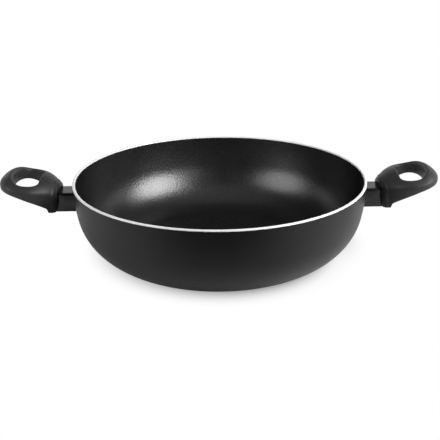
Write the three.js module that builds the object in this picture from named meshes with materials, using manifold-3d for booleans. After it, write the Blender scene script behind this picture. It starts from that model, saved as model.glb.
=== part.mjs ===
import * as THREE from 'three';
import { mergeVertices } from 'three/addons/utils/BufferGeometryUtils.js';
import Module from 'manifold-3d';

const wasm = await Module();
wasm.setup();

// A deep two-handled frying pan in millimetres: base on z = 0, handles out along x.

// Pan body, pressed from one sheet
const rimDiameter = 280;
const panHeight = 76;
const baseDiameter = 170;
const sheetThickness = 2.6;
const cornerShare = 0.965; // corner radius between base and wall, as a share of the overhang
const panSides = 80;

// Flame guard: the rectangular metal sleeve between pan and grip
const guardWidth = 23.6;
const guardHeight = 18.6;
const guardDrop = 23.4; // its centre, below the top of the rim
const guardReach = 18; // pan wall to grip, along the guard's middle
const guardSheet = 1;
const guardCorner = 1.3;
const guardSeat = 3.6; // how far it enters the grip

// Grip: one moulding, a collar that widens into a loop
const gripLength = 53.2;
const collarWidth = 31.4;
const collarSide = 16.5; // upright part of its side
const collarCrown = 9.4; // arched part above that
const collarUnder = 0.2; // collar below the guard's underside, which its open bottom leaves bare
const collarLean = 0.14; // lean of the collar's end toward the pan, as a slope
const beadLength = 4.4;
const beadHeight = 0.5;
const loopWidth = 67;
const loopSide = 5.5;
const loopCrown = 11.5;
const archShape = 0.75; // the arch across the top: 0.5 is an ellipse, 1 a parabola
const loopWidest = 28.5; // where the loop is widest, from the collar's end
const loopFullness = 2.25; // outline of the outer end: 2 is an ellipse, more is squarer
const sideBand = 9; // plan width of the loop at its sides
const endBand = 12.6; // and at its outer end
const thinLength = 36; // stretch over which the collar's section thins to the loop's
const gripRise = 26; // underside at the loop's end, above the collar's
const riseStart = 2;
const riseShape = 0.83; // below 1 the underside climbs sooner
const holeStart = 16.6;
const holeCorner = 9;
const holeTopRound = 4.2;
const panSideShare = 0.4; // share of that rounding's width toward the pan
const holeUnderRound = 2;
const underEdge = 2.2;

// Fixing: a stud welded to the pan wall, and a screw through the grip into it
const studDiameter = 9.5;
const studFlange = 12.5;
const studFlangeThickness = 1.8;
const studShort = 1; // stud end, short of the grip's socket floor
const screwDiameter = 5;
const screwEngagement = 8;
const headDiameter = 9.2;
const headHeight = 3.2;
const recessWidth = 1.2;
const recessLength = 5;
const recessDepth = 1.6;
const washerThickness = 1.2;
const washerDiameter = 8.8;
const washerSlit = 0.8;
const webThickness = 4.6; // grip left between its socket and the screw's seat

// Clearances
const fitGap = 0.3;
const socketGap = 0.5;
const headGap = 0.9;

const wallTop = panHeight - sheetThickness / 2;
const rimRadius = rimDiameter / 2;
const baseRadius = baseDiameter / 2;
const overhang = rimRadius - baseRadius;
const cornerRadius = cornerShare * overhang;
const cornerToTop = wallTop - cornerRadius;
// The wall above the corner is one flatter arc, tangent to the corner and upright at the rim.
const wallRadius = (overhang ** 2 + cornerToTop ** 2 - cornerRadius ** 2) / (2 * (overhang - cornerRadius));
const joinAngle = Math.atan2(-cornerToTop, baseRadius - rimRadius + wallRadius);

// The wall's outer line from base to rim, moved out from the metal (in when the distance is negative).
function wallLine(distance, cornerSteps, wallSteps) {
  const corner = new THREE.EllipseCurve(
    baseRadius, cornerRadius, cornerRadius + distance, cornerRadius + distance, -Math.PI / 2, joinAngle,
  );
  const wall = new THREE.EllipseCurve(
    rimRadius - wallRadius, wallTop, wallRadius + distance, wallRadius + distance, joinAngle, 0,
  );
  return [...corner.getPoints(cornerSteps), ...wall.getPoints(wallSteps).slice(1)];
}

// Outer radius of the wall at a height on its upper arc.
function wallRadiusAt(height) {
  return rimRadius - wallRadius + Math.sqrt(wallRadius ** 2 - (wallTop - height) ** 2);
}

const guardZ = panHeight - guardDrop;
const collarX = wallRadiusAt(guardZ) + guardReach;
const collarBottom = guardZ - guardHeight / 2 - collarUnder;
const socketDepth = guardSeat + fitGap;
const seatS = socketDepth + webThickness;
const seatX = collarX + seatS;
const holeEnd = gripLength - endBand;
const holeHalf = loopWidth / 2 - sideBand;
const loopEndLength = gripLength - loopWidest;

function toSolid(geometry) {
  const plain = new THREE.BufferGeometry();
  plain.setAttribute('position', geometry.getAttribute('position').clone());
  if (geometry.index) plain.setIndex(geometry.index.clone());
  const merged = mergeVertices(plain, 1e-4);
  const mesh = new wasm.Mesh({
    numProp: 3,
    vertProperties: new Float32Array(merged.getAttribute('position').array),
    triVerts: new Uint32Array(merged.index.array),
  });
  return new wasm.Manifold(mesh);
}

function toGeometry(solid) {
  const mesh = solid.getMesh();
  const geometry = new THREE.BufferGeometry();
  geometry.setAttribute('position', new THREE.BufferAttribute(new Float32Array(mesh.vertProperties), 3));
  geometry.setIndex(new THREE.BufferAttribute(new Uint32Array(mesh.triVerts), 1));
  geometry.computeVertexNormals();
  return geometry;
}

// A turned solid about the z axis from (radius, height) points.
function turned(points, sides) {
  return new THREE.LatheGeometry(points, sides).rotateX(Math.PI / 2);
}

// The same about the x axis of the handle, from (radius, x) points.
function turnedAlongX(points, sides) {
  return turned(points, sides).rotateY(Math.PI / 2).translate(0, 0, guardZ);
}

// A closed skin over a row of rings with equal point counts, capped at both ends.
function loft(rings) {
  const count = rings[0].length;
  const positions = [];
  const index = [];
  for (const ring of rings) {
    for (const point of ring) positions.push(point.x, point.y, point.z);
  }
  for (let r = 0; r + 1 < rings.length; r++) {
    for (let i = 0; i < count; i++) {
      const here = r * count + i;
      const next = r * count + ((i + 1) % count);
      index.push(here, next, next + count, here, next + count, here + count);
    }
  }
  for (const last of [false, true]) {
    const ring = last ? rings[rings.length - 1] : rings[0];
    const start = last ? (rings.length - 1) * count : 0;
    const centre = new THREE.Vector3();
    for (const point of ring) centre.addScaledVector(point, 1 / count);
    const hub = positions.length / 3;
    positions.push(centre.x, centre.y, centre.z);
    for (let i = 0; i < count; i++) {
      const a = start + i;
      const b = start + ((i + 1) % count);
      if (last) index.push(a, b, hub);
      else index.push(b, a, hub);
    }
  }
  const geometry = new THREE.BufferGeometry();
  geometry.setAttribute('position', new THREE.Float32BufferAttribute(positions, 3));
  geometry.setIndex(index);
  return geometry;
}

function panBody() {
  const points = [new THREE.Vector2(0, 0)];
  points.push(...wallLine(0, 13, 3));
  const lip = sheetThickness / 2;
  const lipCentre = rimRadius - lip;
  for (let i = 1; i < 5; i++) {
    const turn = (Math.PI * i) / 5;
    points.push(new THREE.Vector2(lipCentre + lip * Math.cos(turn), wallTop + lip * Math.sin(turn)));
  }
  points.push(...wallLine(-sheetThickness, 12, 3).reverse());
  points.push(new THREE.Vector2(0, sheetThickness));
  return turned(points, panSides);
}

// The room the pan takes up, grown by the fit, that cuts the pieces seated on its wall.
function panRoom() {
  const points = [new THREE.Vector2(0, -fitGap)];
  points.push(...wallLine(fitGap, 20, 12));
  points.push(new THREE.Vector2(rimRadius + fitGap, panHeight + 10));
  points.push(new THREE.Vector2(0, panHeight + 10));
  return toSolid(turned(points, panSides * 2));
}

// A bar along x with a rounded rectangular section, centred on the guard's height.
function roundedBar(width, height, corner, fromX, toX) {
  const shape = new THREE.Shape();
  const w = width / 2 - corner;
  const h = height / 2 - corner;
  shape.absarc(w, h, corner, 0, Math.PI / 2);
  shape.absarc(-w, h, corner, Math.PI / 2, Math.PI);
  shape.absarc(-w, -h, corner, Math.PI, Math.PI * 1.5);
  shape.absarc(w, -h, corner, Math.PI * 1.5, Math.PI * 2);
  const bar = new THREE.ExtrudeGeometry(shape, { depth: toX - fromX, bevelEnabled: false, curveSegments: 4 });
  bar.rotateX(Math.PI / 2).rotateZ(Math.PI / 2);
  return toSolid(bar.translate(fromX, 0, guardZ));
}

function rod(diameter, fromX, toX) {
  const r = diameter / 2;
  const points = [[0, fromX], [r, fromX], [r, toX], [0, toX]];
  return toSolid(turnedAlongX(points.map(([a, b]) => new THREE.Vector2(a, b)), 24));
}

function flameGuard() {
  const fromX = collarX - guardReach - 4;
  const toX = collarX + guardSeat;
  const inside = guardSheet * 2;
  const outer = roundedBar(guardWidth, guardHeight, guardCorner, fromX, toX);
  const inner = roundedBar(
    guardWidth - inside, guardHeight - inside, guardCorner - guardSheet, fromX - 1, toX + 1,
  );
  return toGeometry(outer.subtract(inner).subtract(panRoom()));
}

function weldStud() {
  const fromX = collarX - guardReach - 3;
  const endX = collarX + socketDepth - studShort;
  const flangeX = collarX - guardReach + studFlangeThickness;
  const bore = screwDiameter + 2 * fitGap;
  const boreFloor = seatX - studShort - webThickness - screwEngagement - fitGap;
  const body = rod(studDiameter, fromX, endX).add(rod(studFlange, fromX, flangeX));
  return toGeometry(body.subtract(rod(bore, boreFloor, endX + 1)).subtract(panRoom()));
}

// Half width of the grip at a distance from the collar's end.
function halfWidthAt(s) {
  const collar = collarWidth / 2;
  const loop = loopWidth / 2;
  if (s <= loopWidest) return collar + (loop - collar) * Math.sin((Math.PI / 2) * (s / loopWidest));
  const reach = Math.min(1, (s - loopWidest) / loopEndLength);
  return loop * (1 - reach ** loopFullness) ** (1 / loopFullness);
}

// The rounded lip over the collar's end.
function beadAt(s) {
  if (s >= beadLength) return 0;
  return beadHeight * (0.5 - 0.5 * Math.cos((2 * Math.PI * s) / beadLength));
}

// Place in the loop's outer half, seen from above: 0 at its middle, 1 on its outline.
function loopPlace(s, t) {
  const reach = (s - loopWidest) / loopEndLength;
  const across = Math.abs(t) / (loopWidth / 2);
  return (reach ** loopFullness + across ** loopFullness) ** (1 / loopFullness);
}

// Distance in from the grip's outline, seen from above.
function insetAt(s, t) {
  if (s <= loopWidest) return Math.max(0, halfWidthAt(s) + beadAt(s) - Math.abs(t));
  const place = loopPlace(s, t);
  const reach = (s - loopWidest) / loopEndLength;
  const across = Math.abs(t) / (loopWidth / 2);
  const steep = Math.hypot(
    reach ** (loopFullness - 1) / loopEndLength, across ** (loopFullness - 1) / (loopWidth / 2),
  );
  return Math.max(0, (1 - place) * place ** (loopFullness - 1)) / Math.max(steep, 1e-6);
}

// How far a rounded edge falls away at an inset from the outline.
function edgeFall(inset, radius) {
  if (inset >= radius) return 0;
  return radius - Math.sqrt(Math.max(0, radius * radius - (radius - inset) ** 2));
}

// The grip's underside along its middle: it climbs from the collar and levels off at the loop.
function underLine(s) {
  const climb = Math.min(1, Math.max(0, s - riseStart) / (gripLength - riseStart));
  return collarBottom + gripRise * Math.sin((Math.PI / 2) * climb ** riseShape);
}

function undersideAt(s, t) {
  return underLine(s) + edgeFall(insetAt(s, t), underEdge);
}

// The arched top, highest along the middle of the collar and round the hole; it rolls over into the sides.
function topAt(s, t) {
  const thinned = Math.min(1, s / thinLength);
  const ease = thinned * thinned * (3 - 2 * thinned);
  const side = collarSide + (loopSide - collarSide) * ease;
  const crown = collarCrown + (loopCrown - collarCrown) * ease;
  const across = t / (halfWidthAt(s) + beadAt(s));
  const arch = Math.max(0, s <= loopWidest ? 1 - across ** 2 : 1 - loopPlace(s, t) ** 2);
  return underLine(s) + side + crown * arch ** archShape + beadAt(s);
}

// A point of the grip, with the lean of the collar's end fading out along its length.
function gripPoint(s, t, z) {
  const fade = Math.max(0, 1 - s / gripLength) ** 2;
  return new THREE.Vector3(collarX + s - collarLean * fade * (z - guardZ), t, z);
}

// One cross-section of the grip, as a ring of points.
function gripRing(s) {
  const half = halfWidthAt(s) + beadAt(s);
  const under = Math.min(underEdge, half * 0.6);
  const right = [];
  for (const share of [0, 0.5, 1]) right.push([share * (half - under), undersideAt]);
  for (const share of [0.7, 0.93, 1]) right.push([half - under * (1 - share), undersideAt]);
  for (const share of [1, 0.99, 0.96, 0.9, 0.8, 0.62, 0.42, 0.2, 0]) right.push([share * half, topAt]);
  const left = right.slice(1, -1).reverse().map(([t, surface]) => [-t, surface]);
  return [...right, ...left].map(([t, surface]) => gripPoint(s, t, surface(s, t)));
}

function gripBody() {
  const stations = [];
  for (let i = 0; i < 5; i++) stations.push((beadLength * i) / 4);
  for (let i = 1; i < 7; i++) stations.push(beadLength + ((loopWidest - beadLength) * i) / 7);
  for (let i = 0; i <= 12; i++) {
    const turn = ((Math.PI / 2) * i) / 12.4;
    stations.push(loopWidest + loopEndLength * Math.sin(turn) ** (2 / loopFullness));
  }
  return toSolid(loft(stations.map(gripRing)));
}

// Points on a quarter of an oval from one axis to the other, its last point left to the next stretch.
function ovalQuarter(centreX, centreY, radiusX, radiusY, fromTurn, fullness, steps) {
  const points = [];
  for (let i = 0; i < steps; i++) {
    const turn = fromTurn + ((Math.PI / 2) * i) / steps;
    const across = Math.cos(turn);
    const up = Math.sin(turn);
    points.push(new THREE.Vector2(
      centreX + radiusX * Math.sign(across) * Math.abs(across) ** (2 / fullness),
      centreY + radiusY * Math.sign(up) * Math.abs(up) ** (2 / fullness),
    ));
  }
  return points;
}

// The finger hole's outline, widened by a distance, less toward the pan: flat there, round at the far side.
function holeOutline(wider) {
  const start = holeStart - wider * panSideShare;
  const flat = holeHalf - holeCorner;
  const corner = holeCorner + wider;
  const reach = loopWidest - start;
  const far = holeEnd + wider - loopWidest;
  const half = holeHalf + wider;
  const quarter = Math.PI / 2;
  return [
    ...ovalQuarter(loopWidest, -flat, reach, corner, 2 * quarter, 2, 7),
    ...ovalQuarter(loopWidest, 0, far, half, -quarter, loopFullness, 11),
    ...ovalQuarter(loopWidest, 0, far, half, 0, loopFullness, 11),
    ...ovalQuarter(loopWidest, flat, reach, corner, quarter, 2, 7),
    new THREE.Vector2(start, flat),
    new THREE.Vector2(start, 0),
  ];
}

// The finger hole as a cutter: it flares to round the hole's edges, and clears the grip by the crown's height.
function fingerHole() {
  const levels = [];
  levels.push([holeUnderRound, undersideAt, -loopCrown]);
  for (const turn of [0, 0.25, 0.5, 0.75, 1]) {
    const angle = (turn * Math.PI) / 2;
    levels.push([holeUnderRound * (1 - Math.sin(angle)), undersideAt, holeUnderRound * (1 - Math.cos(angle))]);
  }
  for (const turn of [1, 0.75, 0.5, 0.25, 0]) {
    const angle = (turn * Math.PI) / 2;
    levels.push([holeTopRound * (1 - Math.sin(angle)), topAt, -holeTopRound * (1 - Math.cos(angle))]);
  }
  levels.push([holeTopRound, topAt, loopCrown]);
  const rings = levels.map(([wider, surface, lift]) =>
    holeOutline(wider).map((p) => gripPoint(p.x, p.y, surface(p.x, p.y) + lift)),
  );
  return toSolid(loft(rings));
}

function handleGrip() {
  const socket = roundedBar(
    guardWidth + 2 * socketGap, guardHeight + 2 * socketGap, guardCorner, collarX - 6, collarX + socketDepth,
  );
  const bore = rod(screwDiameter + 2 * fitGap, collarX, seatX + 1);
  const counterbore = rod(headDiameter + 2 * headGap, seatX, collarX + holeEnd);
  const body = gripBody().subtract(fingerHole());
  return toGeometry(body.subtract(socket).subtract(bore).subtract(counterbore));
}

function lockWasher() {
  const fromX = seatX + fitGap / 2;
  const ring = rod(washerDiameter, fromX, fromX + washerThickness);
  const bore = rod(screwDiameter + 2 * fitGap, fromX - 1, fromX + washerThickness + 1);
  const slit = new THREE.BoxGeometry(washerThickness * 3, washerSlit, washerDiameter);
  slit.rotateX(0.35).translate(fromX, 0, guardZ + washerDiameter / 2);
  return toGeometry(ring.subtract(bore).subtract(toSolid(slit)));
}

function handleScrew() {
  const headX = seatX + washerThickness + fitGap;
  const tipX = seatX - webThickness - studShort - screwEngagement;
  const r = screwDiameter / 2;
  const head = headDiameter / 2;
  const points = [[0, tipX], [r - 0.6, tipX], [r, tipX + 0.8], [r, headX], [head, headX]];
  for (const turn of [0.2, 0.5, 0.8]) {
    const angle = (turn * Math.PI) / 2;
    points.push([head * Math.cos(angle * 0.62), headX + headHeight * (0.35 + 0.65 * Math.sin(angle))]);
  }
  points.push([0, headX + headHeight]);
  const body = toSolid(turnedAlongX(points.map(([a, b]) => new THREE.Vector2(a, b)), 24));
  let driven = body;
  for (const [wide, tall] of [[recessWidth, recessLength], [recessLength, recessWidth]]) {
    const slot = new THREE.BoxGeometry(recessDepth * 2, wide, tall);
    driven = driven.subtract(toSolid(slot.translate(headX + headHeight, 0, guardZ)));
  }
  return toGeometry(driven);
}

function piece(name, geometry, color, roughness, metalness) {
  const mesh = new THREE.Mesh(geometry, new THREE.MeshStandardMaterial({ color, roughness, metalness }));
  mesh.name = name;
  return mesh;
}

function handle(side) {
  const assembly = new THREE.Group();
  assembly.name = `${side}_handle`;
  assembly.add(piece(`${side}_weld_stud`, weldStud(), 0xb4b7ba, 0.45, 0.9));
  assembly.add(piece(`${side}_flame_guard`, flameGuard(), 0x3b3d40, 0.45, 0.5));
  assembly.add(piece(`${side}_handle_grip`, handleGrip(), 0x1d1d1f, 0.45, 0));
  assembly.add(piece(`${side}_lock_washer`, lockWasher(), 0x8d9094, 0.4, 0.9));
  assembly.add(piece(`${side}_handle_screw`, handleScrew(), 0xa3a6aa, 0.35, 0.9));
  return assembly;
}

const group = new THREE.Group();
group.name = 'deep_frying_pan';
group.add(piece('pan_body', panBody(), 0x2c2d2f, 0.5, 0.3));
const right = handle('right');
const left = handle('left');
left.rotation.z = Math.PI;
group.add(right, left);

export default group;
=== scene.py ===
import math
import bmesh
import bpy
from mathutils import Matrix, Vector


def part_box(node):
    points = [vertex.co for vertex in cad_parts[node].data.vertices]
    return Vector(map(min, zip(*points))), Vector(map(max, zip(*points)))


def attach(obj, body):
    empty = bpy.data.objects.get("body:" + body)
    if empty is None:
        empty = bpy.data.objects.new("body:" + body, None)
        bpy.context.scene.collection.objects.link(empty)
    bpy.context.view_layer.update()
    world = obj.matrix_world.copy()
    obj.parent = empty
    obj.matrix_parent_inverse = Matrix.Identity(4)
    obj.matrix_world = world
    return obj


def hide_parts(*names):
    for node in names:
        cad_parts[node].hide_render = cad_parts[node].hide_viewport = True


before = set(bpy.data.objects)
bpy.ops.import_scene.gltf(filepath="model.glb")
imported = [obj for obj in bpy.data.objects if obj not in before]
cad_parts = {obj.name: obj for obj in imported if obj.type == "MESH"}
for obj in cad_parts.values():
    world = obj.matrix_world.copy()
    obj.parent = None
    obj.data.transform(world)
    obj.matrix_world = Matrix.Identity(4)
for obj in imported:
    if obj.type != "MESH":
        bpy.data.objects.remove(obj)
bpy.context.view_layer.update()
scene = bpy.context.scene
scene.view_settings.view_transform = "Standard"
sides = {"right": 0.0, "left": math.pi}  # each handle is the right one, turned about the pan's axis
mergeWithin = 1e-7  # metres
levelWithin = 1e-6
facing = 0.99  # a normal with this much along an axis faces it
sharpAngle = 35  # degrees, an edge that turns more is shaded sharp


def eased(share):
    share = min(1, max(0, share))
    return share * share * (3 - 2 * share)


# nodes and meshes

noiseSpan = {"tint": (0.35, 0.65), "rough": (0.3, 0.7)}  # the part of a noise's range that is spread out


def addNode(tree, kind, settings=None, **inputs):
    node = tree.nodes.new(kind)
    for key, value in (settings or {}).items():
        setattr(node, key, value)
    for key, value in inputs.items():
        node.inputs[key].default_value = value
    return node


def newFinish(name, roughness, metallic=0.0, ior=1.5):
    material = bpy.data.materials.new(name)
    material.use_nodes = True
    tree = material.node_tree
    shader = tree.nodes["Principled BSDF"]
    shader.inputs["Roughness"].default_value = roughness
    shader.inputs["Metallic"].default_value = metallic
    shader.inputs["IOR"].default_value = ior
    place = addNode(tree, "ShaderNodeTexCoord").outputs["Object"]
    return material, tree, shader, place


def noiseOn(tree, place, scale, detail=3.0, stretch=None):
    noise = addNode(tree, "ShaderNodeTexNoise", Scale=scale, Detail=detail)
    if stretch:  # longer grains along one axis
        mapping = addNode(tree, "ShaderNodeMapping", Scale=stretch)
        tree.links.new(place, mapping.inputs["Vector"])
        place = mapping.outputs["Vector"]
    tree.links.new(place, noise.inputs["Vector"])
    return noise.outputs["Fac"]


def mapRange(tree, value, fromRange, toRange, kind="LINEAR"):
    spread = addNode(tree, "ShaderNodeMapRange", {"interpolation_type": kind})
    for key, number in zip(("From Min", "From Max", "To Min", "To Max"), (*fromRange, *toRange)):
        spread.inputs[key].default_value = number
    tree.links.new(value, spread.inputs["Value"])
    return spread.outputs["Result"]


def tintBy(tree, shader, value, dark, light):
    ramp = addNode(tree, "ShaderNodeValToRGB")
    for element, position, colour in zip(ramp.color_ramp.elements, noiseSpan["tint"], (dark, light)):
        element.position = position
        element.color = (*colour, 1)
    tree.links.new(value, ramp.inputs["Fac"])
    tree.links.new(ramp.outputs["Color"], shader.inputs["Base Color"])


def roughBy(tree, shader, value, smooth, rough):
    tree.links.new(mapRange(tree, value, noiseSpan["rough"], (smooth, rough)), shader.inputs["Roughness"])


def bumpBy(tree, shader, value, strength, depth):
    bump = addNode(tree, "ShaderNodeBump", Strength=strength, Distance=depth)
    tree.links.new(value, bump.inputs["Height"])
    tree.links.new(bump.outputs["Normal"], shader.inputs["Normal"])


def makePiece(bm, name, finishes, standsFor, sharp=sharpAngle):
    bmesh.ops.remove_doubles(bm, verts=bm.verts, dist=mergeWithin)
    bmesh.ops.recalc_face_normals(bm, faces=bm.faces)
    mesh = bpy.data.meshes.new(name)
    bm.to_mesh(mesh)
    bm.free()
    mesh.shade_smooth()
    mesh.set_sharp_from_angle(angle=math.radians(sharp))
    piece = bpy.data.objects.new(name, mesh)
    scene.collection.objects.link(piece)
    for finish in finishes:
        mesh.materials.append(finish)
    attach(piece, "root")
    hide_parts(standsFor)
    return piece


def carve(piece, cutters):  # cuts closed bmesh shapes out of a piece
    for bm in cutters:
        bmesh.ops.recalc_face_normals(bm, faces=bm.faces)
        mesh = bpy.data.meshes.new("cutter")
        bm.to_mesh(mesh)
        bm.free()
        tool = bpy.data.objects.new("cutter", mesh)
        scene.collection.objects.link(tool)
        cut = piece.modifiers.new("cut", "BOOLEAN")
        cut.operation = "DIFFERENCE"
        cut.solver = "EXACT"
        cut.object = tool
        bpy.context.view_layer.update()
        shaped = piece.evaluated_get(bpy.context.evaluated_depsgraph_get())
        carved = bpy.data.meshes.new_from_object(shaped)
        piece.modifiers.clear()
        bpy.data.objects.remove(tool)
        piece.data = carved
    piece.data.shade_smooth()
    piece.data.set_sharp_from_angle(angle=math.radians(sharpAngle))


# finishes

def makeNonStick():
    finish, tree, shader, place = newFinish("nonStickCoating", roughness=0.3, metallic=0.9)
    shader.inputs["Specular Tint"].default_value = (0.15, 0.15, 0.15, 1)  # dull where it is seen edge on
    speckle = noiseOn(tree, place, scale=900, detail=2)
    tintBy(tree, shader, speckle, dark=(0.082, 0.082, 0.083), light=(0.108, 0.108, 0.109))
    roughBy(tree, shader, noiseOn(tree, place, scale=45), smooth=0.28, rough=0.32)
    bumpBy(tree, shader, noiseOn(tree, place, scale=480, detail=2), strength=0.5, depth=0.0003)
    return finish


def makeEnamel():
    finish, tree, shader, place = newFinish("charcoalEnamel", roughness=0.42, ior=1.38)
    speckle = noiseOn(tree, place, scale=1200, detail=2)
    tintBy(tree, shader, speckle, dark=(0.003, 0.003, 0.0031), light=(0.005, 0.005, 0.0051))
    roughBy(tree, shader, noiseOn(tree, place, scale=30), smooth=0.4, rough=0.45)
    bumpBy(tree, shader, noiseOn(tree, place, scale=1500, detail=2), strength=0.15, depth=0.00004)
    return finish


def makeRimWithPaintedSheen():
    # painted sheen: a mostly diffuse near-white that stands in for the bare aluminium's reflections, so
    # the rim reads white all round
    finish, tree, shader, place = newFinish("rimWithPaintedSheen", roughness=0.4, metallic=0.12)
    lines = noiseOn(tree, place, scale=220, detail=2, stretch=(0.2, 0.2, 12))
    tintBy(tree, shader, lines, dark=(0.92, 0.92, 0.925), light=(0.97, 0.97, 0.975))
    roughBy(tree, shader, lines, smooth=0.36, rough=0.46)
    return finish


def makeTurnedBase():
    finish, tree, shader, place = newFinish("turnedBase", roughness=0.35, metallic=1.0)
    flat = addNode(tree, "ShaderNodeMapping", Scale=(1, 1, 0))
    radius = addNode(tree, "ShaderNodeVectorMath", {"operation": "LENGTH"})
    rings = addNode(tree, "ShaderNodeTexNoise", {"noise_dimensions": "1D"}, Scale=2600, Detail=2)
    tree.links.new(place, flat.inputs["Vector"])
    tree.links.new(flat.outputs["Vector"], radius.inputs[0])
    tree.links.new(radius.outputs["Value"], rings.inputs["W"])
    tintBy(tree, shader, rings.outputs["Fac"], dark=(0.66, 0.66, 0.67), light=(0.8, 0.8, 0.81))
    roughBy(tree, shader, rings.outputs["Fac"], smooth=0.28, rough=0.42)
    bumpBy(tree, shader, rings.outputs["Fac"], strength=0.35, depth=0.00008)
    return finish


def makeBakelite():
    finish, tree, shader, place = newFinish("blackBakelite", roughness=0.5, ior=1.4)
    cloud = noiseOn(tree, place, scale=260)
    tintBy(tree, shader, cloud, dark=(0.024, 0.024, 0.0245), light=(0.031, 0.031, 0.0315))
    roughBy(tree, shader, noiseOn(tree, place, scale=120), smooth=0.42, rough=0.52)
    bumpBy(tree, shader, noiseOn(tree, place, scale=1800, detail=2), strength=0.12, depth=0.00004)
    return finish


def makeGuardMetal():
    finish, tree, shader, place = newFinish("darkGuardMetal", roughness=0.2, ior=1.42)
    brushed = noiseOn(tree, place, scale=700, stretch=(0.08, 1, 1))
    tintBy(tree, shader, brushed, dark=(0.003, 0.003, 0.0031), light=(0.006, 0.006, 0.0061))
    roughBy(tree, shader, brushed, smooth=0.16, rough=0.24)
    bumpBy(tree, shader, brushed, strength=0.1, depth=0.00003)
    return finish


def makeZincSteel():
    finish, tree, shader, place = newFinish("zincSteel", roughness=0.35, metallic=1.0)
    cloud = noiseOn(tree, place, scale=500)
    tintBy(tree, shader, cloud, dark=(0.48, 0.49, 0.51), light=(0.62, 0.63, 0.65))
    roughBy(tree, shader, noiseOn(tree, place, scale=900), smooth=0.28, rough=0.42)
    return finish


def makeBareAluminium():
    finish, tree, shader, place = newFinish("bareAluminium", roughness=0.45, metallic=1.0)
    cloud = noiseOn(tree, place, scale=400)
    tintBy(tree, shader, cloud, dark=(0.6, 0.61, 0.62), light=(0.72, 0.73, 0.74))
    roughBy(tree, shader, noiseOn(tree, place, scale=800), smooth=0.38, rough=0.5)
    return finish


nonStick = makeNonStick()
enamel = makeEnamel()
rimWithPaintedSheen = makeRimWithPaintedSheen()
turnedBase = makeTurnedBase()
bakelite = makeBakelite()
guardMetal = makeGuardMetal()
zincSteel = makeZincSteel()
bareAluminium = makeBareAluminium()
print("finishes made")


# pan

pan = {
    "rimRadius": 0.14, "height": 0.076, "baseRadius": 0.085, "sheet": 0.0026,
    "cornerShare": 0.965,  # corner radius between base and wall, as a share of the overhang
    "bareBase": 0.082,  # the enamel ends here on the underside
    "cornerSteps": 30, "wallSteps": 16, "lipSteps": 12, "turns": 224, "sharpAngle": 60,
}


def wallArcs():  # corner and wall of the pan's outer line, two arcs that meet smoothly
    wallTop = pan["height"] - pan["sheet"] / 2
    overhang = pan["rimRadius"] - pan["baseRadius"]
    corner = pan["cornerShare"] * overhang
    rise = wallTop - corner
    wall = (overhang ** 2 + rise ** 2 - corner ** 2) / (2 * (overhang - corner))
    return {
        "corner": corner, "wall": wall, "wallTop": wallTop,
        "lean": math.atan2(rise, wall - overhang),
        "cornerCentre": Vector((pan["baseRadius"], 0, corner)),
        "wallCentre": Vector((pan["rimRadius"] - wall, 0, wallTop)),
    }


arcs = wallArcs()


def wallRadiusAt(height):
    return pan["rimRadius"] - arcs["wall"] + math.sqrt(arcs["wall"] ** 2 - (arcs["wallTop"] - height) ** 2)


def buildPan():
    cornerTurn = math.pi / 2 - arcs["lean"]
    up, down = (0, -1, 0), (0, 1, 0)
    bm = bmesh.new()

    def lineTo(vert, x, z):
        made = bm.verts.new((x, 0, z))
        bm.edges.new((vert, made))
        return made

    def arcOn(vert, centre, axis, angle, steps):
        made = bmesh.ops.spin(bm, geom=[vert], cent=centre, axis=axis, angle=angle, steps=steps)
        return [v for v in made["geom_last"] if isinstance(v, bmesh.types.BMVert)][0]

    tip = bm.verts.new((0, 0, 0))  # from the middle of the base, up the outside and down the inside
    tip = lineTo(tip, pan["bareBase"] / 2, 0)
    tip = lineTo(tip, pan["bareBase"], 0)
    tip = lineTo(tip, pan["baseRadius"], 0)
    tip = arcOn(tip, arcs["cornerCentre"], up, cornerTurn, pan["cornerSteps"])
    tip = arcOn(tip, arcs["wallCentre"], up, arcs["lean"], pan["wallSteps"])
    lipCentre = Vector((pan["rimRadius"] - pan["sheet"] / 2, 0, arcs["wallTop"]))
    tip = arcOn(tip, lipCentre, up, math.pi, pan["lipSteps"])
    tip = arcOn(tip, arcs["wallCentre"], down, arcs["lean"], pan["wallSteps"])
    tip = arcOn(tip, arcs["cornerCentre"], down, cornerTurn, pan["cornerSteps"])
    tip = lineTo(tip, pan["baseRadius"] / 2, pan["sheet"])
    lineTo(tip, 0, pan["sheet"])
    bmesh.ops.spin(bm, geom=bm.verts[:] + bm.edges[:], cent=(0, 0, 0), axis=(0, 0, 1),
                   angle=2 * math.pi, steps=pan["turns"], use_merge=True)
    bmesh.ops.remove_doubles(bm, verts=bm.verts, dist=mergeWithin)
    bmesh.ops.recalc_face_normals(bm, faces=bm.faces)
    finishes = [nonStick, enamel, rimWithPaintedSheen, turnedBase]
    for face in bm.faces:
        middle = face.calc_center_median()
        outward = face.normal.dot(middle - Vector((0, 0, arcs["corner"]))) > 0
        onBase = outward and middle.z < levelWithin and middle.xy.length < pan["bareBase"]
        finish = nonStick
        if middle.z > arcs["wallTop"]:
            # the rim's faces take the finish with the painted sheen
            finish = rimWithPaintedSheen
        elif onBase:
            finish = turnedBase
        elif outward:
            finish = enamel
        face.material_index = finishes.index(finish)
    makePiece(bm, "pan", finishes, "pan_body", sharp=pan["sharpAngle"])


buildPan()
print("pan made")


# flame guards

guard = {
    "sheet": 0.001, "corner": 0.0013, "cornerSteps": 5, "gap": 0.0003,
    "flatFrom": 0.01,  # an edge across that is longer than this is on a flat side
    "acrossCuts": 9, "alongCuts": 11,
    "bulge": 0.0009, "plainPart": 0.22, "fadePart": 0.25,  # shares of the length, from the grip's end
}


def isLong(edge):
    return abs(edge.verts[0].co.x - edge.verts[1].co.x) > levelWithin


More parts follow.
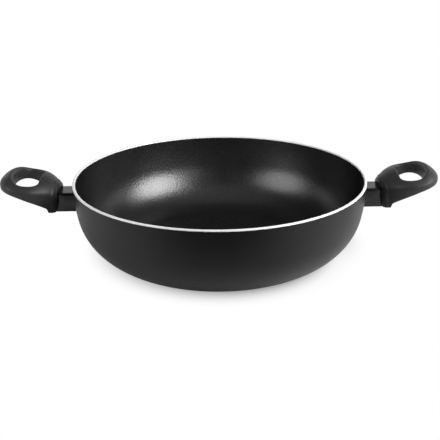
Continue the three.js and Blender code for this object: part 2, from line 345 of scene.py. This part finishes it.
def buildGuard(side, turn):
    low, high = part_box("right_flame_guard")
    half = (high - low) / 2
    bm = bmesh.new()
    bmesh.ops.create_cube(bm, size=1)
    bmesh.ops.scale(bm, vec=high - low, verts=bm.verts)
    bmesh.ops.translate(bm, vec=(low + high) / 2, verts=bm.verts)
    ends = [f for f in bm.faces if abs(f.normal.x) > facing]
    bmesh.ops.delete(bm, geom=ends, context="FACES_ONLY")
    bmesh.ops.bevel(bm, geom=[e for e in bm.edges if isLong(e)], offset=guard["corner"], affect="EDGES",
                    segments=guard["cornerSteps"], profile=0.5, material=-1)
    bmesh.ops.subdivide_edges(bm, edges=[e for e in bm.edges if isLong(e)], cuts=guard["alongCuts"])
    across = [e for e in bm.edges if e.calc_length() > guard["flatFrom"] and not isLong(e)]
    bmesh.ops.subdivide_edges(bm, edges=across, cuts=guard["acrossCuts"])
    for vert in bm.verts:
        part = (high.x - vert.co.x) / (high.x - low.x)
        rise = (vert.co.z - low.z - half.z) / half.z
        full = min(1, max(0, part - guard["plainPart"]) / guard["fadePart"])
        full *= guard["bulge"] * (1 - rise ** 2)  # the upright sides are a little full
        vert.co.y += full * vert.co.y / half.y
        reach = wallRadiusAt(vert.co.z) + guard["gap"]
        wallX = math.sqrt(reach ** 2 - vert.co.y ** 2)
        vert.co.x = high.x + (wallX - high.x) * part  # the end toward the pan follows its wall
    bmesh.ops.recalc_face_normals(bm, faces=bm.faces)
    bmesh.ops.solidify(bm, geom=bm.faces[:], thickness=guard["sheet"])
    bmesh.ops.rotate(bm, cent=(0, 0, 0), matrix=Matrix.Rotation(turn, 3, "Z"), verts=bm.verts)
    makePiece(bm, f"{side}FlameGuard", [guardMetal], f"{side}_flame_guard")


for side, turn in sides.items():
    buildGuard(side, turn)
print("flame guards made")


# grips, where s runs out from the collar's end and t across

grip = {
    "length": 0.0532, "seat": 0.0036,  # the guard enters it by this much
    "collarWidth": 0.0314, "collarSide": 0.0165, "collarCrown": 0.0094, "lean": 0.14,
    "beadLength": 0.005, "beadHeight": 0.0008,
    "footLength": 0.0058, "footFade": 0.0024, "footLift": 0.0008, "footSlope": 0.25,
    "footEdge": 0.45,  # the foot keeps this share of the edge's rounding
    "loopWidth": 0.067, "loopSide": 0.0055, "loopCrown": 0.0115, "loopWidest": 0.0285, "fullness": 2.25,
    "arch": 0.75,  # 0.5 is an ellipse across the top, 1 a parabola
    "sideBand": 0.009, "endBand": 0.0126, "thinLength": 0.036,
    "rise": 0.026, "riseStart": 0.002, "riseShape": 0.83,
    "holeStart": 0.0166, "holeCorner": 0.009, "holeEndSlack": 0.0001, "holeSideSlack": 0.002,
    "flare": 0.0042, "panSideFlare": 0.4,  # rounding of the hole's top, and its share toward the pan
    "upperEdge": 0.0012, "underEdge": 0.0022, "holeUnderEdge": 0.002, "edgeSteps": 5,
    "blockHeight": 0.01, "halvings": 40,
    "points": 288, "collarPoints": 24, "topCuts": 40, "underCuts": 10,
}
socket = {
    "gap": 0.0005, "depth": 0.0039, "web": 0.0046, "bore": 0.0056, "headRoom": 0.011, "rodSides": 64,
    "mouth": 0.01, "overlap": 0.001,  # the cutters reach past what they cut
}
guardLow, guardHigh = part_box("right_flame_guard")
collarX = guardHigh.x - grip["seat"]
collarZ = (guardLow.z + guardHigh.z) / 2
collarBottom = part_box("right_handle_grip")[0].z
holeEnd = grip["length"] - grip["endBand"]
seatX = collarX + socket["depth"] + socket["web"]


def beadAt(s):
    if s >= grip["beadLength"]:
        return 0
    return grip["beadHeight"] * (0.5 - 0.5 * math.cos(2 * math.pi * s / grip["beadLength"]))


def halfWidthAt(s):
    collar, loop = grip["collarWidth"] / 2, grip["loopWidth"] / 2
    if s <= grip["loopWidest"]:
        return collar + (loop - collar) * math.sin(math.pi / 2 * s / grip["loopWidest"]) + beadAt(s)
    reach = min(1, (s - grip["loopWidest"]) / (grip["length"] - grip["loopWidest"]))
    return loop * (1 - reach ** grip["fullness"]) ** (1 / grip["fullness"])


def holeHalfAt(s):  # half width of the finger hole: flat toward the pan, round at the far side
    half = grip["loopWidth"] / 2 - grip["sideBand"]
    if s <= grip["loopWidest"]:
        reach = (grip["loopWidest"] - s) / (grip["loopWidest"] - grip["holeStart"])
        return half - grip["holeCorner"] * (1 - math.sqrt(max(0, 1 - reach ** 2)))
    reach = min(1, (s - grip["loopWidest"]) / (holeEnd - grip["loopWidest"]))
    return half * (1 - reach ** grip["fullness"]) ** (1 / grip["fullness"])


def outlineReach(angle, halfAt, start, end):  # from the loop's middle out to an outline
    near, far = 0, grip["length"]
    for _ in range(grip["halvings"]):
        middle = (near + far) / 2
        s = grip["loopWidest"] - middle * math.cos(angle)
        inside = start < s < end and abs(middle * math.sin(angle)) < halfAt(s)
        near, far = (middle, far) if inside else (near, middle)
    return near


def underLine(s):
    climb = min(1, max(0, s - grip["riseStart"]) / (grip["length"] - grip["riseStart"]))
    return collarBottom + grip["rise"] * math.sin(math.pi / 2 * climb ** grip["riseShape"])


def underAt(s, z):  # the collar ends in a blunt foot with a smaller rounding
    line = underLine(s) + z
    foot = collarBottom + grip["footLift"] + grip["footSlope"] * s + grip["footEdge"] * z
    return line + (foot - line) * eased((grip["footLength"] + grip["footFade"] - s) / grip["footFade"])


def topAt(s, t):
    ease = eased(s / grip["thinLength"])
    rest = 1 - ease
    side = grip["collarSide"] * rest + grip["loopSide"] * ease
    crown = grip["collarCrown"] * rest + grip["loopCrown"] * ease
    across = abs(t) / halfWidthAt(min(s, grip["loopWidest"]))
    along = max(0, s - grip["loopWidest"]) / (grip["length"] - grip["loopWidest"])
    place = (across ** grip["fullness"] + along ** grip["fullness"]) ** (1 / grip["fullness"])
    return underLine(s) + side + crown * (1 - min(1, place) ** 2) ** grip["arch"] + beadAt(s)


def flareAt(s, t):  # how far the top falls away toward the finger hole
    angle = math.atan2(t, grip["loopWidest"] - s)
    hole = outlineReach(angle, holeHalfAt, grip["holeStart"], holeEnd)
    width = grip["flare"] * (1 - (1 - grip["panSideFlare"]) * max(0, math.cos(angle)) ** 2)
    inward = 1 - (math.hypot(t, grip["loopWidest"] - s) - hole) / width
    if inward <= 0:
        return 0
    return grip["flare"] * (1 - math.sqrt(max(0, 1 - min(1, inward) ** 2)))


def outlineAngle(turn):  # spreads the outline's points so that one falls on each corner of the collar
    cornerTurn = 2 * math.pi * grip["collarPoints"] / grip["points"]
    cornerAngle = math.atan2(grip["collarWidth"] / 2, grip["loopWidest"])
    size = abs(turn)
    if size <= cornerTurn:
        return turn * cornerAngle / cornerTurn
    spread = cornerAngle + (size - cornerTurn) * (math.pi - cornerAngle) / (math.pi - cornerTurn)
    return math.copysign(spread, turn)


def gripBlock():  # the grip's plan as a flat block, s along x
    bm = bmesh.new()
    outlines = ((holeHalfAt, grip["holeStart"], holeEnd), (halfWidthAt, 0, grip["length"]))
    for radius, (halfAt, start, end) in enumerate(outlines, 1):
        for vert in bmesh.ops.create_circle(bm, segments=grip["points"], radius=radius)["verts"]:
            angle = outlineAngle(math.atan2(vert.co.y, -vert.co.x))
            reach = outlineReach(angle, halfAt, start, end)
            vert.co = (grip["loopWidest"] - reach * math.cos(angle), reach * math.sin(angle), 0)
    bmesh.ops.bridge_loops(bm, edges=bm.edges[:])
    made = bmesh.ops.extrude_face_region(bm, geom=bm.faces[:], use_keep_orig=True)["geom"]
    raised = [v for v in made if isinstance(v, bmesh.types.BMVert)]
    bmesh.ops.translate(bm, vec=(0, 0, grip["blockHeight"]), verts=raised)
    bmesh.ops.recalc_face_normals(bm, faces=bm.faces)
    return bm


def onHole(edge):
    middle = (edge.verts[0].co + edge.verts[1].co) / 2
    slack = grip["holeEndSlack"]
    if not grip["holeStart"] - slack < middle.x < holeEnd + slack:
        return False
    return abs(middle.y) < holeHalfAt(middle.x) + grip["holeSideSlack"]


def atLevel(edge, level):
    return all(abs(v.co.z - level) < mergeWithin for v in edge.verts)


def roundEdges(bm):
    top = grip["blockHeight"]
    rounds = ((top, True, "upperEdge"), (0, True, "underEdge"), (0, False, "holeUnderEdge"))
    for level, outer, size in rounds:
        picked = []
        for edge in bm.edges:
            flatFaces = [f for f in edge.link_faces if abs(f.normal.z) > facing]
            if len(flatFaces) == 1 and atLevel(edge, level) and onHole(edge) != outer:
                picked.append(edge)
        bmesh.ops.bevel(bm, geom=picked, offset=grip[size], affect="EDGES", segments=grip["edgeSteps"],
                        profile=0.5, material=-1)
    for level, cuts in ((top, grip["topCuts"]), (0, grip["underCuts"])):
        radial = [e for e in bm.edges if atLevel(e, level) and len(e.link_faces) == 2
                  and all(abs(f.normal.z) > facing for f in e.link_faces)]
        bmesh.ops.subdivide_edges(bm, edges=radial, cuts=cuts)


def rodAlongX(diameter, fromX, toX):
    bm = bmesh.new()
    bmesh.ops.create_cone(bm, cap_ends=True, segments=socket["rodSides"], radius1=diameter / 2,
                          radius2=diameter / 2, depth=toX - fromX)
    bmesh.ops.rotate(bm, cent=(0, 0, 0), matrix=Matrix.Rotation(math.pi / 2, 3, "Y"), verts=bm.verts)
    bmesh.ops.translate(bm, vec=((fromX + toX) / 2, 0, collarZ), verts=bm.verts)
    return bm


def socketBlock():
    bm = bmesh.new()
    bmesh.ops.create_cube(bm, size=1)
    size = guardHigh - guardLow + 2 * Vector((0, socket["gap"], socket["gap"]))
    size.x = socket["mouth"] + socket["depth"]
    bmesh.ops.scale(bm, vec=size, verts=bm.verts)
    middle = collarX + (socket["depth"] - socket["mouth"]) / 2
    bmesh.ops.translate(bm, vec=(middle, 0, collarZ), verts=bm.verts)
    return bm


def buildGrip(side, turn):
    top = grip["blockHeight"]
    bm = gripBlock()
    roundEdges(bm)
    for vert in bm.verts:  # the flat block takes the grip's climb, crown and lean
        s, t, z = vert.co
        lifted = topAt(s, t) - flareAt(s, t) - top + z if z > top / 2 else underAt(s, z)
        fade = max(0, 1 - s / grip["length"]) ** 2
        vert.co = (collarX + s - grip["lean"] * fade * (lifted - collarZ), t, lifted)
    piece = makePiece(bm, f"{side}Grip", [bakelite], f"{side}_handle_grip")
    screwHole = rodAlongX(socket["bore"], collarX, seatX + socket["overlap"])
    headHole = rodAlongX(socket["headRoom"], seatX, collarX + holeEnd)
    carve(piece, [socketBlock(), screwHole, headHole])
    piece.data.transform(Matrix.Rotation(turn, 4, "Z"))


for side, turn in sides.items():
    buildGrip(side, turn)
print("grips made")


# screws, and the finish of the pieces kept from the frame

screw = {
    "shank": 0.005, "tipLength": 0.0008, "tipNarrowing": 0.0006,
    "head": 0.0092, "headHeight": 0.0032, "turns": 64,
    "dome": ((0.0011, 1.0), (0.0022, 0.88), (0.0029, 0.6)),  # height on the head, share of its radius
    "crossLength": 0.0052, "crossWidth": 0.0012, "crossDepth": 0.0016,
}


def buildScrew(side, turn):
    low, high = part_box("right_handle_screw")
    headX = high.x - screw["headHeight"]
    shank, head = screw["shank"] / 2, screw["head"] / 2
    bm = bmesh.new()
    line = [(low.x, 0), (low.x, shank - screw["tipNarrowing"]), (low.x + screw["tipLength"], shank)]
    line += [(headX, shank), (headX, head)]
    line += [(headX + rise, head * share) for rise, share in screw["dome"]]
    line += [(high.x, 0)]
    verts = [bm.verts.new((x, 0, collarZ + r)) for x, r in line]
    edges = [bm.edges.new(pair) for pair in zip(verts, verts[1:])]
    bmesh.ops.spin(bm, geom=verts + edges, cent=(0, 0, collarZ), axis=(1, 0, 0), angle=2 * math.pi,
                   steps=screw["turns"], use_merge=True)
    piece = makePiece(bm, f"{side}Screw", [zincSteel], f"{side}_handle_screw")
    cross = []
    for size in ((screw["crossWidth"], screw["crossLength"]), (screw["crossLength"], screw["crossWidth"])):
        slot = bmesh.new()
        bmesh.ops.create_cube(slot, size=1)
        bmesh.ops.scale(slot, vec=(2 * screw["crossDepth"], *size), verts=slot.verts)
        bmesh.ops.translate(slot, vec=(high.x, 0, collarZ), verts=slot.verts)
        cross.append(slot)
    carve(piece, cross)
    piece.data.transform(Matrix.Rotation(turn, 4, "Z"))


for side, turn in sides.items():
    buildScrew(side, turn)
    for node, finish in ((f"{side}_weld_stud", bareAluminium), (f"{side}_lock_washer", zincSteel)):
        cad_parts[node].data.materials.clear()
        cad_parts[node].data.materials.append(finish)
print("screws made")


# floor, light and camera

studio = {
    "floorRadius": 9.0, "floorSides": 96, "paperTone": 0.92,
    # a dim patch of paper on the camera's side: painted shade, because that side is unlit
    "dimAt": (0.0, -0.45), "paintedShadeTone": 0.07, "dimFrom": 0.2, "dimTo": 0.35,
    # lit paper with the shadow turns to white over this stretch
    "shadowAt": (0.006, 0.019), "shadowFrom": 0.0974, "shadowTo": 0.1475,
    # and in part over this one, seen in a reflection
    "mirrorAt": (0.0, 0.0), "mirrorFrom": 0.1, "mirrorTo": 0.26, "mirrorShare": 0.5,
    "worldTone": 0.03,
    # how far the white backdrop reaches round and up, as sines
    "backdropSide": 0.05, "backdropSideFade": 0.3, "backdropTop": 0.5, "backdropTopFade": 0.2,
    "aimHeight": 0.03,
}
lamps = {  # sizes and distance in metres, tilt in degrees
    "rightBox": {"direction": (0.747, -0.257, 0.613), "distance": 1.2,
                 "width": 0.78, "height": 1.12, "tilt": -43, "watts": 19},
    "leftBox": {"direction": (-0.79, -0.32, 0.51), "distance": 1.2,
                "width": 0.84, "height": 1.1, "tilt": 20, "watts": 6.2},
    "topBox": {"direction": (0.0, 0.0, 1.0), "distance": 1.5,
               "width": 1.6, "height": 1.6, "tilt": 0, "watts": 1.1},
    "frontBox": {"direction": (0.532, -0.76, 0.375), "distance": 1.2,
                 "width": 0.6, "height": 0.6, "tilt": 0, "watts": 0.7},
}
camera = {
    "distance": 0.65, "targetHeight": 0.02734, "elevation": 22.27, "turn": 0.7, "roll": -0.65,
    "lens": 53.33, "sensor": 36,
}


def mathOf(tree, operation, first, second):
    result = addNode(tree, "ShaderNodeMath", {"operation": operation})
    tree.links.new(first, result.inputs[0])
    tree.links.new(second, result.inputs[1])
    return result.outputs["Value"]


def fadeOver(tree, value, start, end, most=1.0):
    return mapRange(tree, value, (start, end), (0, most), "SMOOTHSTEP")


def distanceFrom(tree, place, spot):
    distance = addNode(tree, "ShaderNodeVectorMath", {"operation": "DISTANCE"})
    distance.inputs[1].default_value = (*spot, 0)
    tree.links.new(place, distance.inputs[0])
    return distance.outputs["Value"]


def seenRays(tree):  # the camera's own rays, and those that reflect or pass through
    rays = addNode(tree, "ShaderNodeLightPath").outputs
    mirrored = mathOf(tree, "MAXIMUM", rays["Is Glossy Ray"], rays["Is Transmission Ray"])
    return rays["Is Camera Ray"], mirrored


def mixInto(tree, out, share, first, second):
    mixed = addNode(tree, "ShaderNodeMixShader")
    tree.links.new(share, mixed.inputs["Fac"])
    tree.links.new(first, mixed.inputs[1])
    tree.links.new(second, mixed.inputs[2])
    tree.links.new(mixed.outputs["Shader"], out.inputs["Surface"])


def makePaper():
    paper = bpy.data.materials.new("whitePaper")
    paper.use_nodes = True
    tree = paper.node_tree
    tree.nodes.clear()
    place = addNode(tree, "ShaderNodeTexCoord").outputs["Object"]
    fromPaintedShade = distanceFrom(tree, place, studio["dimAt"])
    fromShadow = distanceFrom(tree, place, studio["shadowAt"])
    fromPan = distanceFrom(tree, place, studio["mirrorAt"])
    dimRange = (studio["dimFrom"], studio["dimTo"])
    # painted shade: the paper's colour darkens toward the patch on the camera's side
    tone = mapRange(tree, fromPaintedShade, dimRange, (studio["paintedShadeTone"], studio["paperTone"]))
    lit = addNode(tree, "ShaderNodeBsdfDiffuse")
    tree.links.new(tone, lit.inputs["Color"])
    white = addNode(tree, "ShaderNodeEmission", Color=(1, 1, 1, 1), Strength=1)
    seen, mirrored = seenRays(tree)
    clear = fadeOver(tree, fromShadow, studio["shadowFrom"], studio["shadowTo"])
    around = fadeOver(tree, fromPan, studio["mirrorFrom"], studio["mirrorTo"])
    # reflections see less white where the painted shade lies
    lightPart = fadeOver(tree, fromPaintedShade, *dimRange, studio["mirrorShare"])
    seenShare = mathOf(tree, "MULTIPLY", clear, seen)
    mirroredShare = mathOf(tree, "MULTIPLY", mathOf(tree, "MULTIPLY", around, lightPart), mirrored)
    share = mathOf(tree, "MAXIMUM", seenShare, mirroredShare)
    out = addNode(tree, "ShaderNodeOutputMaterial")
    mixInto(tree, out, share, lit.outputs["BSDF"], white.outputs["Emission"])
    return paper


def makeFloor():
    bm = bmesh.new()
    bmesh.ops.create_circle(bm, cap_ends=True, segments=studio["floorSides"], radius=studio["floorRadius"])
    mesh = bpy.data.meshes.new("floor")
    bm.to_mesh(mesh)
    bm.free()
    mesh.materials.append(makePaper())
    floor = bpy.data.objects.new("floor", mesh)
    scene.collection.objects.link(floor)


def makeWorld():
    world = bpy.data.worlds.new("studio")
    scene.world = world
    world.use_nodes = True
    tree = world.node_tree
    tree.nodes.clear()
    tone = studio["worldTone"]
    dim = addNode(tree, "ShaderNodeBackground", Color=(tone, tone, tone, 1), Strength=1)
    white = addNode(tree, "ShaderNodeBackground", Color=(1, 1, 1, 1), Strength=1)
    split = addNode(tree, "ShaderNodeSeparateXYZ")
    tree.links.new(addNode(tree, "ShaderNodeTexCoord").outputs["Generated"], split.inputs["Vector"])
    top, side = studio["backdropTop"], studio["backdropSide"]
    low = fadeOver(tree, split.outputs["Z"], top, top - studio["backdropTopFade"])
    behind = fadeOver(tree, split.outputs["Y"], side, side + studio["backdropSideFade"])
    seen, mirrored = seenRays(tree)
    backdrop = mathOf(tree, "MULTIPLY", mathOf(tree, "MULTIPLY", low, behind), mirrored)
    out = addNode(tree, "ShaderNodeOutputWorld")
    share = mathOf(tree, "MAXIMUM", backdrop, seen)
    mixInto(tree, out, share, dim.outputs["Background"], white.outputs["Background"])


def makeLamps():
    aim = Vector((0, 0, studio["aimHeight"]))
    for name, box in lamps.items():
        light = bpy.data.lights.new(name, "AREA")
        light.shape = "ELLIPSE"
        light.size = box["width"]
        light.size_y = box["height"]
        light.energy = box["watts"]
        lamp = bpy.data.objects.new(name, light)
        scene.collection.objects.link(lamp)
        away = Vector(box["direction"]).normalized()
        lamp.location = aim + away * box["distance"]
        facingPan = away.to_track_quat("Z", "Y").to_matrix()
        lamp.rotation_euler = (facingPan @ Matrix.Rotation(math.radians(box["tilt"]), 3, "Z")).to_euler()


def makeCamera():
    rise, turn, roll = (math.radians(camera[key]) for key in ("elevation", "turn", "roll"))
    back = Vector((-math.sin(turn) * math.cos(rise), -math.cos(turn) * math.cos(rise), math.sin(rise)))
    across = Vector((math.cos(turn), -math.sin(turn), 0))
    over = back.cross(across)
    right = across * math.cos(roll) + over * math.sin(roll)
    up = over * math.cos(roll) - across * math.sin(roll)
    data = bpy.data.cameras.new("camera")
    data.sensor_width = camera["sensor"]
    data.lens = camera["lens"]
    eye = bpy.data.objects.new("camera", data)
    scene.collection.objects.link(eye)
    place = Matrix((right, up, back)).transposed().to_4x4()
    place.translation = Vector((0, 0, camera["targetHeight"])) + back * camera["distance"]
    eye.matrix_world = place
    scene.camera = eye


makeFloor()
makeWorld()
makeLamps()
makeCamera()
print("studio made")
